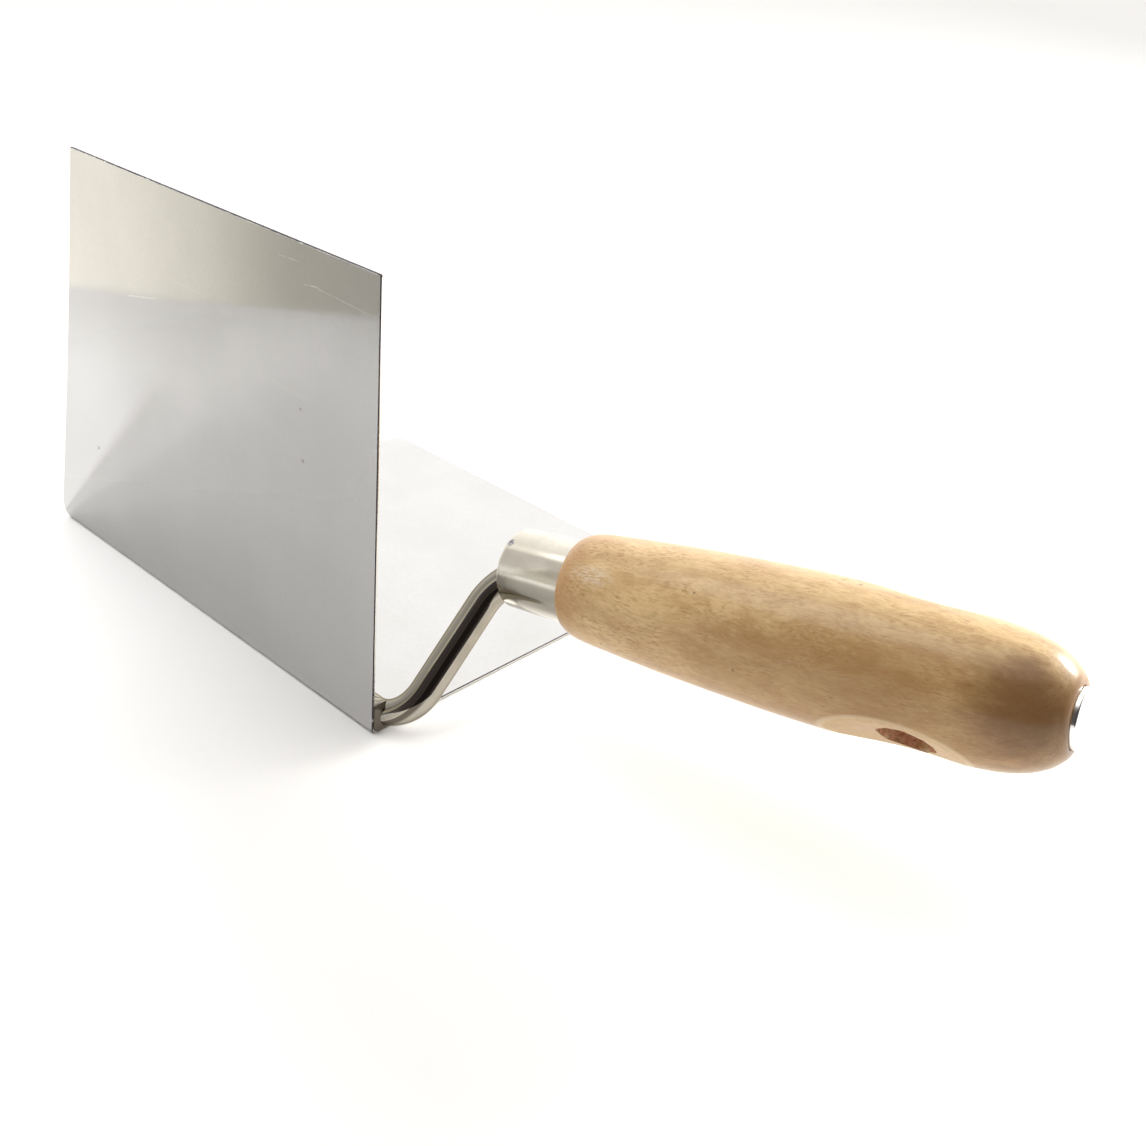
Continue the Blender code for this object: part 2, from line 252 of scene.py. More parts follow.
class Shader(Nodes):
    """A Principled material and short ways to add nodes to it."""

    def __init__(self, name, axes, metallic=1, specular=0.5):
        self.material = bpy.data.materials.new(name)
        self.material.use_nodes = True
        super().__init__(self.material.node_tree)
        self.principled = self.tree.nodes["Principled BSDF"]
        self.to("Metallic", metallic)
        self.to("Specular IOR Level", specular)
        inputs = {"Vector": self.add("ShaderNodeTexCoord").outputs["Object"],
                  "Location": axes.translation, "Rotation": axes.to_euler()}
        local = self.add("ShaderNodeMapping", inputs, vector_type="TEXTURE")
        self.coords = local.outputs["Vector"]

    def to(self, name, value):
        self.feed(self.principled.inputs[name], value)

    def finish(self, colour, roughness, relief, strength, distance):
        """Connect the surface's colour, roughness and relief, and return the material."""
        self.to("Base Color", colour)
        self.to("Roughness", roughness)
        self.to("Normal", self.bump(relief, strength, distance))
        return self.material

    def scaled(self, scale, rotation=(0, 0, 0), source=None):
        inputs = {"Vector": source or self.coords, "Scale": scale, "Rotation": rotation}
        return self.add("ShaderNodeMapping", inputs).outputs["Vector"]

    def noise(self, scale, detail=3, roughness=0.5, vector=None, output="Fac"):
        inputs = {"Vector": vector or self.coords, "Scale": scale, "Detail": detail,
                  "Roughness": roughness}
        return self.add("ShaderNodeTexNoise", inputs).outputs[output]

    def voronoi(self, vector, scale):
        return self.add("ShaderNodeTexVoronoi", {"Vector": vector, "Scale": scale}).outputs["Distance"]

    def math(self, operation, a, b=0, clamp=False):
        node = self.add("ShaderNodeMath", {0: a, 1: b}, operation=operation, use_clamp=clamp)
        return node.outputs[0]

    def chain(self, operation, values):
        result = values[0]
        for value in values[1:]:
            result = self.math(operation, result, value)
        return result

    def times(self, *values):
        return self.chain("MULTIPLY", values)

    def plus(self, *values):
        return self.chain("ADD", values)

    def most(self, *values):
        return self.chain("MAXIMUM", values)

    def less(self, value, taken):
        return self.math("SUBTRACT", value, taken)

    def length(self, *values):
        """Square root of the sum of the squares."""
        return self.math("SQRT", self.plus(*[self.times(value, value) for value in values]))

    def range(self, value, low, high, to_low=0, to_high=1):
        """Soft step from to_low at low to to_high at high; low may be the larger."""
        inputs = {"Value": value, "From Min": low, "From Max": high,
                  "To Min": to_low, "To Max": to_high}
        node = self.add("ShaderNodeMapRange", inputs, interpolation_type="SMOOTHSTEP")
        return node.outputs["Result"]

    def band(self, value, rise, fall):
        """1 between two soft edges, each given as where it is 0 and where it is 1."""
        return self.times(self.range(value, *rise), self.range(value, *fall))

    def mix(self, factor, *colours):
        """Blend of two colours, each an output or three numbers."""
        first, second = [colour if isinstance(colour, bpy.types.NodeSocket) else (*colour, 1)
                         for colour in colours]
        inputs = {"Factor": factor, 6: first, 7: second}
        return self.add("ShaderNodeMix", inputs, data_type="RGBA").outputs[2]

    def distance(self, point):
        """Distance from a point given in the material's own frame."""
        return self.vector("DISTANCE", self.coords, point)

    def facing(self, toward):
        """How far the surface faces a direction: 1 straight at it, 0 edge on, -1 away."""
        normal = self.add("ShaderNodeTexCoord").outputs["Normal"]
        return self.vector("DOT_PRODUCT", normal, toward)

    def parts(self):
        """The x, y and z of a point in the material's own frame."""
        return self.add("ShaderNodeSeparateXYZ", {0: self.coords}).outputs

    def bump(self, height, strength, distance):
        inputs = {"Height": height, "Strength": strength, "Distance": distance}
        return self.add("ShaderNodeBump", inputs).outputs["Normal"]

    def line(self, along, across, start, end, width):
        """Mask of a thin straight scratch between two points of a plane."""
        run = Vector(end) - Vector(start)
        length = run.length
        run.normalize()
        a = self.less(along, start[0])
        b = self.less(across, start[1])
        u = self.plus(self.times(a, run.x), self.times(b, run.y))
        v = self.less(self.times(b, run.x), self.times(a, run.y))
        inside = self.band(u, (0, length * 0.15), (length, length * 0.8))
        return self.times(inside, self.range(self.math("ABSOLUTE", v), width, 0))

    def painted(self, colour, toward, bands):
        """Painted reflections: bands of colour round a bar or tube, by how far its surface faces a
        direction.
        """
        side = self.facing(toward)
        for rise, fall, weight, paint in bands:
            colour = self.mix(self.times(self.band(side, rise, fall), weight), colour, paint)
        return colour


# ---- materials

# Scratches on the standing flange: start (x, z), end (x, z), half width
SCRATCHES = [
    ((0.0354, 0.11), (0.0264, 0.1104), 0.00013),
    ((0.0264, 0.1056), (0.0204, 0.1064), 0.0002),
    ((0.0229, 0.1061), (0.0012, 0.1052), 0.00012),
    ((0.101, 0.0815), (0.085, 0.085), 0.00028),
]
# Pits at fixed places: x, y, z, radius
SPECKS = [
    (0.0275, 0, 0.0754, 0.00055), (0.0265, 0, 0.0626, 0.00078),
    (0.1206, 0, 0.0306, 0.0008), (0.117, 0, 0.029, 0.0004),
    (0.031, 0, 0.048, 0.0003), (0.0425, -0.1148, 0, 0.0006),
    (0.07, -0.07, 0, 0.00035), (0.04, -0.05, 0, 0.00035),
]
# Polishing hairs: turn and scale of each set
HAIRS = [(0.3, 420), (-0.6, 380), (1.2, 400)]
# Painted reflections on the rod and ferrule, as bands by the way the surface faces: rising edge,
# falling edge, weight, colour
ROD_SIDE = (0.8, 0.43, 0.42)
ROD_PAINTED_REFLECTIONS = [
    ((0.5, 0.6), (2, 1.5), 0.8, (0.205, 0.19, 0.162)),
    ((0.44, 0.49), (0.56, 0.51), 1, (0.44, 0.4, 0.28)),
    ((0.36, 0.41), (0.47, 0.43), 1, (0.085, 0.088, 0.125)),
    ((0.03, 0.06), (0.12, 0.08), 0.6, (0.8, 0.72, 0.55)),
    ((-0.44, -0.22), (0.1, 0), 1, (0.14, 0.122, 0.1)),
]
FERRULE_SIDE = (0.19, -0.39, 0.89)
FERRULE_PAINTED_REFLECTIONS = [
    ((-0.14, -0.26), (-0.86, -0.72), 0.85, (0.33, 0.305, 0.26)),
    ((0.12, -0.04), (-0.22, -0.12), 0.8, (0.8, 0.77, 0.69)),
]
FERRULE_NICK = (0.0028, 0.0093, 0.0047)
BUTT_DARK_PATCH_AT = (-0.0042, 0.0108, 0.13)
SHOULDER_HIGHLIGHT_AT = (-0.0012, 0.0135, 0.0312)
# Dents filled with dirt: x, y, z, radius
WOOD_DOTS = [
    (0.0129, 0.0094, 0.0867, 0.0005), (0.0126, 0.0098, 0.0906, 0.0006),
    (0.0005, 0.0151, 0.0583, 0.0004), (-0.012, 0.01, 0.0706, 0.0005),
    (-0.0132, 0.0034, 0.0348, 0.0005), (-0.0096, 0.0115, 0.086, 0.0004),
]


def sheet_fan_painted_reflection(s, tint):
    """Painted reflection on the standing flange: a pale wedge spreading from the far tip, darker
    beside it.
    """
    x, _, z = s.parts()
    past = s.less(FOLD_LENGTH, x)
    lean = s.math("ARCTAN2", z, past)
    reach = s.length(past, z)
    wedge = s.band(lean, (0.78, 0.88), (1.6, 1.25, 0.55, 1))
    wedge = s.times(wedge, s.range(reach, 0.1, 0.045), 0.8)
    beside = s.band(lean, (0.45, 0.76), (0.84, 0.78))
    beside = s.times(beside, s.range(reach, 0.1, 0.04), 0.3)
    # Painted reflection: the pale wedge and the darker strip beside it.
    tint = s.mix(wedge, tint, (0.69, 0.688, 0.686))
    return s.mix(beside, tint, (0.43, 0.424, 0.415))


def sheet_pits(s, mottle):
    """Scattered pits, and the ones at fixed places."""
    pits = s.range(s.voronoi(s.coords, 110), 0.034, 0.018)
    pits = s.times(pits, s.range(s.noise(60, 1), 0.62, 0.66), 0.5)
    ragged = s.range(mottle, 0.3, 0.7, 0.6, 1.3)
    for *centre, radius in SPECKS:
        edge = s.math("DIVIDE", s.distance(centre), ragged)
        pits = s.most(pits, s.range(edge, radius, radius * 0.3, 0, 0.75))
    return pits


def sheet_scratches(s):
    """The scratches, broken up along their length."""
    x, _, z = s.parts()
    marks = [s.line(x, z, *scratch) for scratch in SCRATCHES]
    return s.times(s.most(*marks), s.range(s.noise(700, 2), 0.4, 0.6, 0.25, 1))


def sheet_hairs(s):
    """Patches of very fine lines that cross each other."""
    streaks = []
    for angle, scale in HAIRS:
        streak = s.noise(scale, 1, 0.3, s.scaled((0.05, 1, 1), (angle, angle, 0)))
        streaks.append(s.range(streak, 0.72, 0.76))
    return s.times(s.most(*streaks), s.range(s.noise(30, 2), 0.48, 0.66))


def sheet_steel():
    """Bright rolled stainless: clear reflections, faint mottle, light scratches and specks."""
    s = Shader("stainless_sheet", FOLD)
    haze = s.noise(34, 4, 0.55)
    mottle = s.noise(900, 3, 0.6)
    tint = s.mix(s.range(haze, 0.35, 0.68), (0.55, 0.544, 0.535), (0.525, 0.519, 0.508))
    tint = s.mix(s.range(mottle, 0.4, 0.75, 0, 0.3), tint, (0.492, 0.485, 0.473))
    tint = sheet_fan_painted_reflection(s, tint)
    tint = s.mix(sheet_pits(s, mottle), tint, (0.3, 0.27, 0.24))
    scratches = sheet_scratches(s)
    tint = s.mix(s.times(scratches, 0.55), tint, (0.86, 0.85, 0.81))
    hairs = sheet_hairs(s)
    tint = s.mix(s.times(hairs, 0.06), tint, (0.75, 0.74, 0.72))
    rough = s.plus(s.range(haze, 0.3, 0.7, 0.055, 0.085), s.times(hairs, 0.03))
    rough = s.plus(rough, s.times(scratches, 0.2))
    rolling = s.noise(1200, 2, 0.5, s.scaled((0.05, 1, 1)))
    relief = s.plus(s.times(rolling, 0.35), s.times(mottle, 0.65))
    return s.finish(tint, rough, relief, 0.05, 0.00003)


def sheared_edge():
    """Cut edge of the sheet, brushed clean, with fine marks from the shear and a painted dark
    reflection along the top.
    """
    s = Shader("sheared_edge", FOLD)
    marks = s.noise(2200, 2, 0.5, s.scaled((1, 0.15, 1)))
    cream = s.mix(marks, (0.86, 0.84, 0.76), (0.94, 0.92, 0.85))
    top = s.range(s.parts()["Z"], FLANGE_WIDTH - 0.0006, FLANGE_WIDTH - 0.0003)
    # Painted dark reflection along the top of the cut edge.
    tint = s.mix(top, cream, (0.1, 0.085, 0.075))
    return s.finish(tint, s.range(marks, 0.3, 0.7, 0.2, 0.32), marks, 0.15, 0.00003)


def dark_arris_painted_reflection():
    """Painted dark reflection along one corner of the cut edge; the other corner is bright."""
    s = Shader("dark_arris_painted_reflection", FOLD)
    marks = s.noise(1500, 2, 0.5)
    _, y, z = s.parts()
    standing = s.range(z, 0.003, 0.005)
    outer = s.times(standing, s.range(y, -0.00045, -0.0003))
    upper = s.times(s.less(1, standing), s.range(z, 0.00025, 0.0004))
    # Painted dark reflection on one corner of the edge.
    dark = s.mix(s.range(marks, 0.35, 0.65), (0.03, 0.029, 0.045), (0.085, 0.078, 0.095))
    tint = s.mix(s.most(outer, upper), (0.88, 0.86, 0.79), dark)
    return s.finish(tint, s.range(marks, 0.3, 0.7, 0.35, 0.5), marks, 0.15, 0.00003)


def rod_steel():
    """Polished round rod, with light polishing lines, a little haze and painted reflections in bands
    round it.
    """
    s = Shader("polished_rod", BISECTOR)
    haze = s.noise(120, 3, 0.55)
    lines = s.noise(1800, 2, 0.5, s.scaled((1, 0.05, 0.05)))
    s.to("Specular Tint", (0.5, 0.47, 0.4, 1))
    tint = s.mix(s.range(haze, 0.35, 0.7), (0.45, 0.42, 0.36), (0.38, 0.355, 0.3))
    # Painted reflections: light and dark bands by the way the rod faces.
    tint = s.painted(tint, ROD_SIDE, ROD_PAINTED_REFLECTIONS)
    relief = s.plus(lines, s.times(haze, 0.8))
    return s.finish(tint, s.range(haze, 0.3, 0.7, 0.08, 0.15), relief, 0.1, 0.00004)


def weld_metal():
    """Dull weld with heat colours, darker and rougher at the blade's near end."""
    s = Shader("weld_metal", FOLD)
    x = s.parts()["X"]
    heat = s.noise(260, 4, 0.6)
    tint = s.mix(s.range(heat, 0.35, 0.6), (0.24, 0.2, 0.155), (0.38, 0.335, 0.27))
    blue = s.range(s.noise(170, 2, 0.5), 0.55, 0.72)
    tint = s.mix(s.times(blue, 0.4), tint, (0.16, 0.17, 0.24))
    tint = s.mix(s.range(x, 0.003, -0.0004, 0, 0.75), tint, (0.12, 0.102, 0.085))
    rough = s.plus(s.range(heat, 0.3, 0.7, 0.2, 0.38), s.range(x, 0.002, -0.0002, 0, 0.25))
    relief = s.plus(s.noise(2200, 3, 0.6), s.times(heat, 1.5))
    return s.finish(tint, rough, relief, 0.25, 0.00007)


def ferrule_steel():
    """Bright plated tube: fine lines round it from polishing, slight haze, painted reflections in
    bands round it, one nick.
    """
    s = Shader("ferrule_steel", HANDLE)
    haze = s.noise(150, 3, 0.55)
    rings = s.noise(5200, 2, 0.5, s.scaled((0.02, 0.02, 1)))
    tint = s.mix(s.range(haze, 0.35, 0.7), (0.63, 0.595, 0.525), (0.55, 0.515, 0.445))
    # Painted reflections: light and dark bands by the way the ferrule faces.
    tint = s.painted(tint, FERRULE_SIDE, FERRULE_PAINTED_REFLECTIONS)
    nick = s.range(s.distance(FERRULE_NICK), 0.0013, 0.0006, 0, 0.85)
    nick = s.times(nick, s.range(s.noise(1500, 2), 0.35, 0.55))
    tint = s.mix(nick, tint, (0.1, 0.1, 0.17))
    relief = s.plus(rings, s.times(haze, 0.6))
    return s.finish(tint, s.range(haze, 0.3, 0.7, 0.1, 0.18), relief, 0.1, 0.00004)


def cap_steel():
    """Bright pressed disc with faint turning marks and dings."""
    s = Shader("cap_steel", HANDLE)
    x, y, _ = s.parts()
    turned = s.math("SINE", s.times(s.length(x, y), 26000))
    dings = s.noise(700, 2, 0.5)
    tint = s.mix(s.range(dings, 0.4, 0.7), (0.95, 0.945, 0.925), (0.88, 0.87, 0.84))
    relief = s.plus(s.times(turned, 0.25), dings)
    return s.finish(tint, s.range(dings, 0.3, 0.7, 0.1, 0.2), relief, 0.12, 0.00005)


def wood_flow(s):
    """Coordinates along the handle, bent so that the grain wavers and interlocks."""
    swirl = s.noise(75, vector=s.scaled((1, 1, 0.6)), output="Color")
    pull = s.vector("MULTIPLY", swirl, (0.0065, 0.0065, 0), "Vector")
    return s.vector("ADD", s.coords, pull, "Vector")


def wood_grain(s):
    """Golden tan wood: curly figure, faint bands, and short dark and pale flecks."""
    flow = wood_flow(s)
    figure = s.noise(250, 5, 0.65, s.scaled((1, 1, 0.4), source=flow))
    colour = s.mix(s.range(figure, 0.33, 0.66), (0.555, 0.345, 0.145), (0.745, 0.52, 0.255))
    bands = s.noise(130, 2, 0.5, s.scaled((1, 1, 0.07), source=flow))
    colour = s.mix(s.range(bands, 0.42, 0.7, 0, 0.38), colour, (0.5, 0.295, 0.118))
    grain = s.noise(2100, 3, 0.6, s.scaled((1, 1, 0.12), source=flow))
    colour = s.mix(s.range(grain, 0.48, 0.68, 0, 0.46), colour, (0.44, 0.245, 0.085))
    pores = s.noise(2300, 2, 0.6, s.scaled((1, 1, 0.26), source=flow))
    patches = s.range(s.noise(190, 2, vector=s.scaled((1, 1, 0.5))), 0.38, 0.6, 0.25, 1)
    flecks = s.times(s.range(pores, 0.45, 0.72), patches)
    strength = s.range(s.parts()["Z"], 0.06, 0.034, 0.6, 0.8)
    colour = s.mix(s.times(flecks, strength), colour, (0.37, 0.18, 0.048))
    lights = s.noise(1900, 2, vector=s.scaled((1, 1, 0.3), (0.2, 0, 0), flow))
    colour = s.mix(s.range(lights, 0.55, 0.74, 0, 0.32), colour, (0.84, 0.64, 0.37))
    return colour, flecks, figure


def wood_ends_and_painted_shade(s, colour, figure):
    """Darker lacquer at both ends, painted shade along the underside, and a dark patch by the butt."""
    x, _, z = s.parts()
    ends = s.most(s.range(z, 0.033, 0.0214), s.range(z, 0.1345, 0.1367))
    ends = s.times(ends, s.range(figure, 0.3, 0.55, 0.4, 0.7))
    colour = s.mix(ends, colour, (0.455, 0.225, 0.078))
    # Painted shade: darker along the underside towards the butt.
    shade = s.times(s.range(z, 0.055, 0.125), s.range(x, 0.009, -0.001), 0.5)
    colour = s.mix(shade, colour, (0.33, 0.168, 0.06))
    # Painted shade: darker under the middle of the grip.
    painted_belly_shade = s.band(z, (0.052, 0.066), (0.114, 0.103))
    painted_belly_shade = s.times(painted_belly_shade, s.range(x, 0, -0.006), 0.36)
    colour = s.mix(painted_belly_shade, colour, (0.33, 0.168, 0.06))
    # A darker patch on the lower side near the butt.
    stain = s.plus(s.distance(BUTT_DARK_PATCH_AT), s.times(s.less(figure, 0.5), 0.012))
    return s.mix(s.range(stain, 0.0165, 0.003, 0, 0.82), colour, (0.2, 0.098, 0.036))


def wood_marks(s, colour):
    """A painted speckled highlight behind the ferrule, dark dents and scattered rusty specks."""
    # Painted highlight: a pale speckled patch on the wood behind the ferrule.
    away = [s.less(part, at) for part, at in zip(s.parts(), SHOULDER_HIGHLIGHT_AT)]
    painted_highlight = s.length(away[0], away[1], s.times(away[2], 0.42))
    painted_highlight = s.range(painted_highlight, 0.0036, 0.0006)
    speckle = s.range(s.noise(2600, 3, 0.65, s.scaled((1, 1, 0.13))), 0.42, 0.64, 0.1, 1)
    colour = s.mix(s.times(painted_highlight, speckle, 0.6), colour, (0.95, 0.86, 0.72))
    for *centre, radius in WOOD_DOTS:
        dot = s.range(s.distance(centre), radius, radius * 0.4, 0, 0.7)
        colour = s.mix(dot, colour, (0.17, 0.075, 0.032))
    rust = s.range(s.voronoi(s.scaled((1, 1, 0.6)), 170), 0.16, 0.05)
    rust = s.times(rust, s.range(s.noise(90, 1), 0.6, 0.66), 0.5)
    return s.mix(rust, colour, (0.42, 0.19, 0.07))


def facet_depth(s, x, z):
    """How far a point lies outside the scooped facet's surface, negative when inside it."""
    off = s.less(z, SCOOP_AT)
    chord = s.less(SCOOP_RADIUS ** 2, s.times(off, off))
    curve = s.less(SCOOP_DEPTH + SCOOP_RADIUS, s.math("SQRT", s.most(chord, 0)))
    return s.less(s.math("ABSOLUTE", x), curve)


def cut_masks(s):
    """Masks of the scooped facets, of the painted highlight just inside their edge, and of the bore.
    """
    x, y, z = s.parts()
    outside = facet_depth(s, x, z)
    near = s.range(s.math("ABSOLUTE", s.less(z, SCOOP_AT)), 0.034, 0.03)
    worn = s.range(s.noise(420, 3, 0.6), 0.25, 0.55, 0.55, 1)
    facet = s.times(s.range(outside, -0.00045, -0.00012), near, worn)
    rim = s.times(s.band(outside, (-0.0008, -0.0004), (-0.00008, -0.0003)), near)
    tear = s.noise(620, 3, 0.65, s.scaled((1, 1, 0.6)))
    bore = s.plus(s.length(y, s.less(z, HOLE_AT)), s.times(s.less(tear, 0.5), 0.0022))
    hole = s.times(s.range(bore, HOLE_RADIUS + 0.00045, HOLE_RADIUS + 0.00015),
                   s.range(outside, -0.00002, -0.00025))
    return facet, rim, hole


def cut_colour(s, colour, masks, fibres):
    """Pale worn wood on the facets, with grime in it, a painted highlight just inside their edge, and
    scorched fibres in the bore.
    """
    facet, rim, hole = masks
    pale = s.mix(s.times(facet, 0.45), colour, (0.82, 0.62, 0.365))
    grime = s.range(s.noise(1300, 4, 0.7, s.scaled((1, 1, 0.6))), 0.5, 0.66)
    pale = s.mix(s.times(facet, grime, 0.5), pale, (0.4, 0.235, 0.105))
    # Painted highlight: a pale line just inside the facets' edge.
    pale = s.mix(s.times(rim, 0.4), pale, (0.88, 0.72, 0.48))
    burn = s.noise(800, 4, 0.65)
    scorched = s.mix(s.range(burn, 0.35, 0.65), (0.4, 0.19, 0.105), (0.7, 0.4, 0.24))
    scorched = s.mix(s.range(fibres, 0.58, 0.72, 0, 0.7), scorched, (0.92, 0.7, 0.45))
    return s.mix(hole, pale, scorched)


def handle_wood():
    """Lacquered wood, thinner and paler lacquer on the scooped facets, bare in the hole."""
    s = Shader("lacquered_wood", HANDLE, metallic=0, specular=0.3)
    colour, flecks, figure = wood_grain(s)
    colour = wood_marks(s, wood_ends_and_painted_shade(s, colour, figure))
    fibres = s.noise(2600, 3, 0.6, s.scaled((1, 1, 0.15)))
    facet, rim, hole = cut_masks(s)
    colour = cut_colour(s, colour, (facet, rim, hole), fibres)
    rough = s.plus(s.range(figure, 0.3, 0.7, 0.34, 0.46), s.times(facet, 0.14))
    rough = s.math("ADD", rough, s.times(hole, 0.4), clamp=True)
    bare = s.less(1, s.most(hole, s.times(facet, 0.55)))
    s.to("Coat Weight", s.times(bare, 0.4))
    s.to("Coat Roughness", s.range(figure, 0.3, 0.7, 0.13, 0.22))
    peel = s.less(s.noise(700, 2, 0.5), s.times(flecks, 0.25))
    s.to("Coat Normal", s.bump(peel, 0.22, 0.00006))
    relief = s.less(s.times(figure, 0.3), s.times(flecks, 0.5))
    relief = s.plus(relief, s.times(fibres, s.most(hole, s.times(facet, 0.4)), 2.5))
    return s.finish(colour, rough, relief, 0.15, 0.00006)


# ---- blade

def far_x(width):
    """Far end of the flange at this distance from the fold, with nose and corner rounded."""
    far = FOLD_LENGTH - (FOLD_LENGTH - OUTER_EDGE_LENGTH) / FLANGE_WIDTH * width
    if width < NOSE_RADIUS:
        far -= NOSE_RADIUS - sqrt(NOSE_RADIUS ** 2 - (NOSE_RADIUS - width) ** 2)
    return far - corner_drop(width)


def corner_drop(width):
    """How far the rounded outer corner cuts back at this distance from the fold."""
    edge = FLANGE_WIDTH - width
    if edge >= CORNER_RADIUS:
        return 0
    return CORNER_RADIUS - sqrt(CORNER_RADIUS ** 2 - (CORNER_RADIUS - edge) ** 2)


def flange_widths():
    """Distances from the fold, closer together where the outline is round."""
    corner = [FLANGE_WIDTH - CORNER_RADIUS * (1 - cos(pi / 2 * i / 2)) for i in range(3)]
    count = round((FLANGE_WIDTH - CORNER_RADIUS - NOSE_RADIUS) / BLADE_CELL)
    step = (FLANGE_WIDTH - CORNER_RADIUS - NOSE_RADIUS) / count
    middle = [FLANGE_WIDTH - CORNER_RADIUS - step * i for i in range(1, count)]
    nose = [NOSE_RADIUS * (1 - sin(pi / 2 * i / 10)) for i in range(11)]
    return corner + middle + [width for width in nose if width > FOLD_RADIUS] + [FOLD_RADIUS]


def section_stations():
    """(y, z, normal y, normal z, distance from the fold) round the folded sheet's outer skin."""
    widths = flange_widths()
    stations = [(0, width, 1, 0, width) for width in widths]
    steps = 7
    for i in range(1, steps):
        angle = pi / 2 * i / steps
        y = -FOLD_RADIUS * (1 - cos(angle))
        z = FOLD_RADIUS * (1 - sin(angle))
        stations.append((y, z, cos(angle), -sin(angle), max(-y, z)))
    return stations + [(-width, 0, 0, -1, width) for width in reversed(widths)]


def soft_rise(value, start, end):
    """0 below start, rising with slope 1 above end: the integral of a smooth step."""
    t = min(max((value - start) / (end - start), 0), 1)
    return (end - start) * (t ** 3 - t ** 4 / 2) + max(value - end, 0)


def dish(x, width, seed):
    """How far the hand-finished sheet has sprung inward of a true plane here."""
    from_fold = smooth(0, 0.02, width)
    edge = min(width / 0.03, 1)
    slow = 0.5 + 0.5 * wander(x, width, 0, 0.055, seed)
    quick = 0.5 + 0.5 * wander(x, width, 0, 0.022, seed + 3.7)
    reach = Vector((FOLD_LENGTH - x, width)).length
    angle = atan2(width, max(FOLD_LENGTH - x, 1e-5))
    fan = soft_rise(angle, *FAN_RISE) - soft_rise(angle, *FAN_FALL)
    cone = fan * reach * FAN_SLOPE * smooth(0.13, 0.05, reach)
    return from_fold * edge * (WAVE_DEPTH * slow + RIPPLE_DEPTH * quick) + cone * from_fold


def build_blade(materials):
    """One folded sheet: outer skin, inner skin and cut rim, with its edges eased."""
    bm = bmesh.new()
    columns = round(FOLD_LENGTH / BLADE_CELL)
    stations = section_stations()
    outer, inner = [], []
    for y, z, ny, nz, width in stations:
        near, far = corner_drop(width), far_x(width)
        seed = 1.3 if ny > nz + 1 else 8.1
        outer_row, inner_row = [], []
        for i in range(columns + 1):
            x = near + (far - near) * i / columns
            sink = dish(x, width, seed)
            for row, depth in ((outer_row, sink), (inner_row, sink + SHEET)):
                row.append(bm.verts.new((x, y - ny * depth, z - nz * depth)))
        outer.append(outer_row)
        inner.append(inner_row)
    skin(bm, outer, closed=False)
    skin(bm, inner, closed=False)
    rim = []
    for column in (0, columns):
        rim += skin(bm, [[o[column], i[column]] for o, i in zip(outer, inner)], closed=False)
    for row in (0, -1):
        pairs = [[a, b] for a, b in zip(outer[row], inner[row])]
        rim += skin(bm, pairs, closed=False)
    for face in rim:
        face.material_index = 1
    obj = piece(bm, "blade_sheet", 30, materials, FOLD, "blade")
    bevel = obj.modifiers.new("eased_edge", "BEVEL")
    bevel.width = EDGE_BEVEL
    bevel.segments = 2
    bevel.material = 2
    bevel.use_clamp_overlap = False
    bevel.limit_method = "ANGLE"
    bevel.angle_limit = radians(50)


# ---- shank and weld

def drawn_down_radius(angle):
    """Radius of the rod where it has turned by this angle from the drawn-down foot."""
    share = angle / (pi / 2)
    return FOOT_RADIUS + (SHANK_RADIUS - FOOT_RADIUS) * share ** 2 * (3 - 2 * share)


def shank_path():
    """Centre line in the bisecting plane: (x, height, radius) at each station."""
    height = SEAT * sqrt(2)
    full = FOOT_LENGTH - 0.0009
    points = [(FOOT_LENGTH, 0), (FOOT_LENGTH, 0.55), (FOOT_LENGTH - 0.0003, 0.85), (full, 1)]
    path = [(x, height, FOOT_RADIUS * scale) for x, scale in points]
    start = FOOT_BEND_RADIUS - RISER_OFFSET
    runs = 18
    for i in range(1, runs):
        path.append((full + (start - full) * i / runs, height, FOOT_RADIUS))
    steps = 26
    for i in range(steps + 1):
        angle = pi / 2 * i / steps
        path.append((start - FOOT_BEND_RADIUS * sin(angle),
                     height + FOOT_BEND_RADIUS * (1 - cos(angle)),
                     drawn_down_radius(angle)))
    turn = pi / 2 - HANDLE_RISE
    tangent = NECK_BEND_RADIUS * tan(turn / 2)
    low, high = path[-1][1], NECK_HEIGHT - tangent
    for i in range(1, 20):
        path.append((-RISER_OFFSET, low + (high - low) * i / 20, SHANK_RADIUS))
    for i in range(steps + 1):
        angle = turn * i / steps
        path.append((-RISER_OFFSET - NECK_BEND_RADIUS * (1 - cos(angle)),
                     high + NECK_BEND_RADIUS * sin(angle), SHANK_RADIUS))
    for along, scale in ((0.03, 1), (TANG_END - 0.012, 1), (TANG_END, 0.45), (TANG_END, 0)):
        path.append((-RISER_OFFSET - along * cos(HANDLE_RISE),
                     NECK_HEIGHT + along * sin(HANDLE_RISE), SHANK_RADIUS * scale))
    return path


def build_shank(material):
    """Sweep rings along the centre line, with the slight unevenness of a polished rod."""
    path = shank_path()
    rings = []
    for i, (x, z, radius) in enumerate(path):
        before, after = path[max(i - 1, 0)], path[min(i + 1, len(path) - 1)]
        tangent = Vector((after[0] - before[0], after[1] - before[1]))
        if tangent.length < 1e-7:
            tangent = Vector((x - path[i - 2][0], z - path[i - 2][1]))
        tangent.normalize()
        across = Vector((-tangent.y, 0, tangent.x))
        ring = []
        for angle in turns(SHANK_SIDES):
            swell = 1 + 0.006 * wander(x, z, 0.002 * cos(angle), 0.011, 4)
            reach = max(radius * swell, 1e-6)
            offset = across * (reach * cos(angle)) + Vector((0, reach * sin(angle), 0))
            ring.append(Vector((x, 0, z)) + offset)
        rings.append(ring)
    piece(solid(rings), "shank_rod", 40, [material], BISECTOR, "shank")


